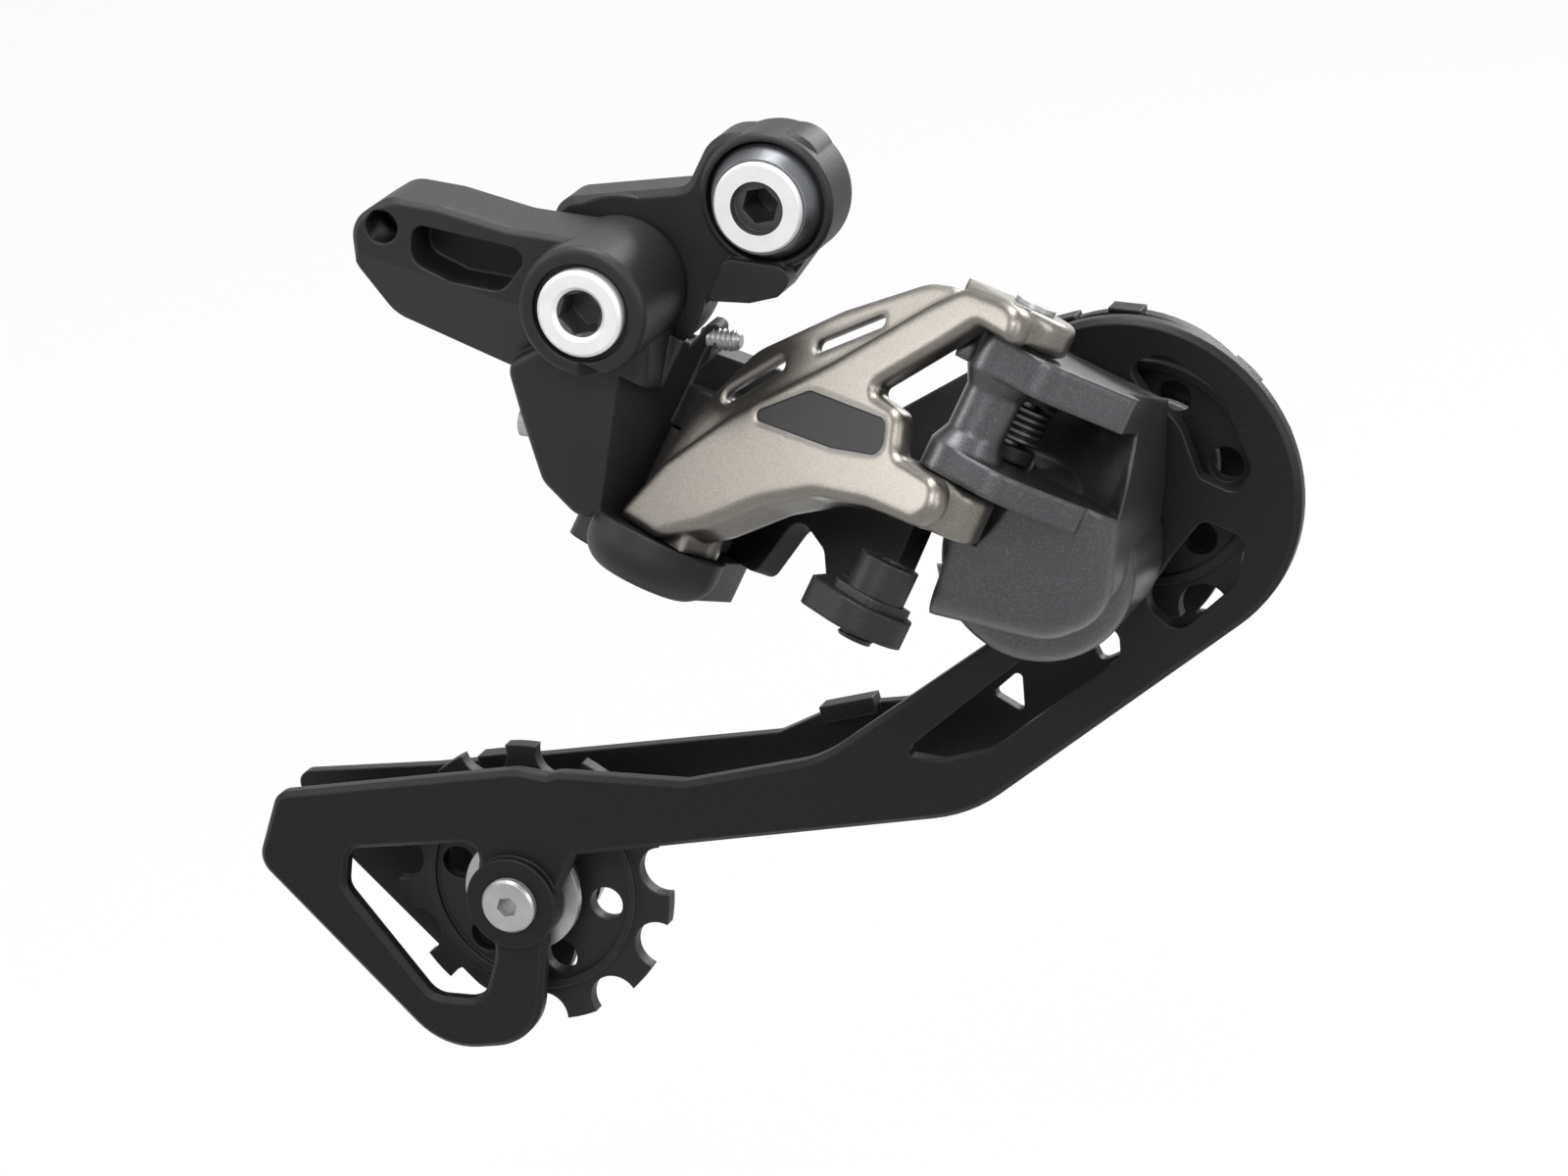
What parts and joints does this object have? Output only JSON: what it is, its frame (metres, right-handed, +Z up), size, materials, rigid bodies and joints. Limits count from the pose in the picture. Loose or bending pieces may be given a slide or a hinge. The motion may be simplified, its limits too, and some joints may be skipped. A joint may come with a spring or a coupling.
{
  "type": "rear bicycle derailleur",
  "caption": "Low-profile rear derailleur with a long pulley cage, for shifting a bicycle chain across the sprockets and taking up its slack.",
  "frame": {"origin": "axis of the hanger bolt, 0.6 mm inboard of the bracket face that lies on the hanger", "axes": "+X towards the front of the bicycle, +Y inboard towards the wheel, +Z up"},
  "size_m": [0.1686, 0.0643, 0.1589],
  "materials": {
    "black_casting": "satin black coat over forged alloy",
    "black_plate": "satin black anodised sheet",
    "grey_link": "warm grey satin metallic",
    "grey_knuckle": "dark grey metallic, fine sparkle",
    "bright_alloy": "bright turned face",
    "grey_collar": "dark grey anodised",
    "bolt_steel": "satin grey",
    "black_steel": "blackened, slightly polished edges",
    "spring_steel": "dark oiled wire",
    "bush_metal": "plain bearing metal",
    "cover_steel": "pressed sheet, satin",
    "pulley_plastic": "moulded black",
    "badge": "dark inlay, left plain",
    "seal_rubber": "matt"
  },
  "bodies": {
    "bracket": {"bracket": "black_casting", "hanger_collar": "grey_collar", "b_axle": "bright_alloy"},
    "hanger_bolt": {"hanger_bolt": "bright_alloy", "hanger_clip": "bolt_steel"},
    "body": {"b_body": "black_casting", "b_bush": "bush_metal", "pin_outer_body": "bolt_steel", "pin_inner_body": "bolt_steel", "limit_screw_high": "bolt_steel", "limit_screw_low": "bolt_steel", "b_screw": "bolt_steel"},
    "outer_link": {"outer_link": "grey_link", "badge_plate": "badge"},
    "inner_link": {"inner_link": "black_casting", "link_spring": "spring_steel", "anchor_plate": "black_steel", "anchor_bolt": "black_steel"},
    "knuckle": {"knuckle": "grey_knuckle", "p_spring": "spring_steel", "p_bush": "bush_metal", "p_seal": "seal_rubber", "pin_outer_knuckle": "bolt_steel", "pin_inner_knuckle": "bolt_steel"},
    "cage": {"p_axle": "bolt_steel", "outer_plate": "black_plate", "inner_plate": "black_plate", "stop_pin": "bolt_steel", "tension_bush": "bush_metal", "tension_bolt": "bolt_steel", "guide_bush": "bush_metal", "guide_bolt": "bolt_steel", "tension_cover_outer": "cover_steel", "tension_cover_inner": "cover_steel", "guide_cover_outer": "cover_steel", "guide_cover_inner": "cover_steel"},
    "tension_pulley": {"tension_pulley": "pulley_plastic"},
    "guide_pulley": {"guide_pulley": "pulley_plastic"}
  },
  "joints": [
    {"name": "hanger_bolt_turn", "type": "hinge", "parent": "bracket", "child": "hanger_bolt", "pos_m": [0, 0, 0], "axis": [0, 1, 0], "continuous": true},
    {"name": "upper_pivot", "type": "hinge", "parent": "bracket", "child": "body", "pos_m": [-0.0226, 0, -0.0145], "axis": [0, 1, 0], "range_deg": [0, 28]},
    {"name": "shift", "type": "hinge", "parent": "body", "child": "outer_link", "pos_m": [-0.0085, -0.012, -0.046], "axis": [0.3338, 0.3224, 0.8858], "range_deg": [0, 48], "stiffness_Nm_per_rad": 0.5, "springref_deg": -28.65},
    {"name": "inner_swing", "type": "hinge", "parent": "body", "child": "inner_link", "pos_m": [-0.0085, 0.0021, -0.05113], "axis": [0.3338, 0.3224, 0.8858], "range_deg": [0, 48]},
    {"name": "knuckle_swing", "type": "hinge", "parent": "outer_link", "child": "knuckle", "pos_m": [0.03964, -0.02607, -0.02289], "axis": [0.3338, 0.3224, 0.8858], "range_deg": [-48, 0]},
    {"name": "cage_pivot", "type": "hinge", "parent": "knuckle", "child": "cage", "pos_m": [0.043, 0, -0.05], "axis": [0, -1, 0], "range_deg": [0, 100], "stiffness_Nm_per_rad": 0.3, "springref_deg": -57.3},
    {"name": "tension_spin", "type": "hinge", "parent": "cage", "child": "tension_pulley", "pos_m": [-0.0464, 0, -0.122], "axis": [0, 1, 0], "continuous": true},
    {"name": "guide_spin", "type": "hinge", "parent": "cage", "child": "guide_pulley", "pos_m": [0.0529, 0, -0.042], "axis": [0, 1, 0], "continuous": true}
  ],
  "couplings": [
    {"joint": "inner_swing", "follows": "shift", "ratio": 1},
    {"joint": "knuckle_swing", "follows": "shift", "ratio": -1}
  ]
}
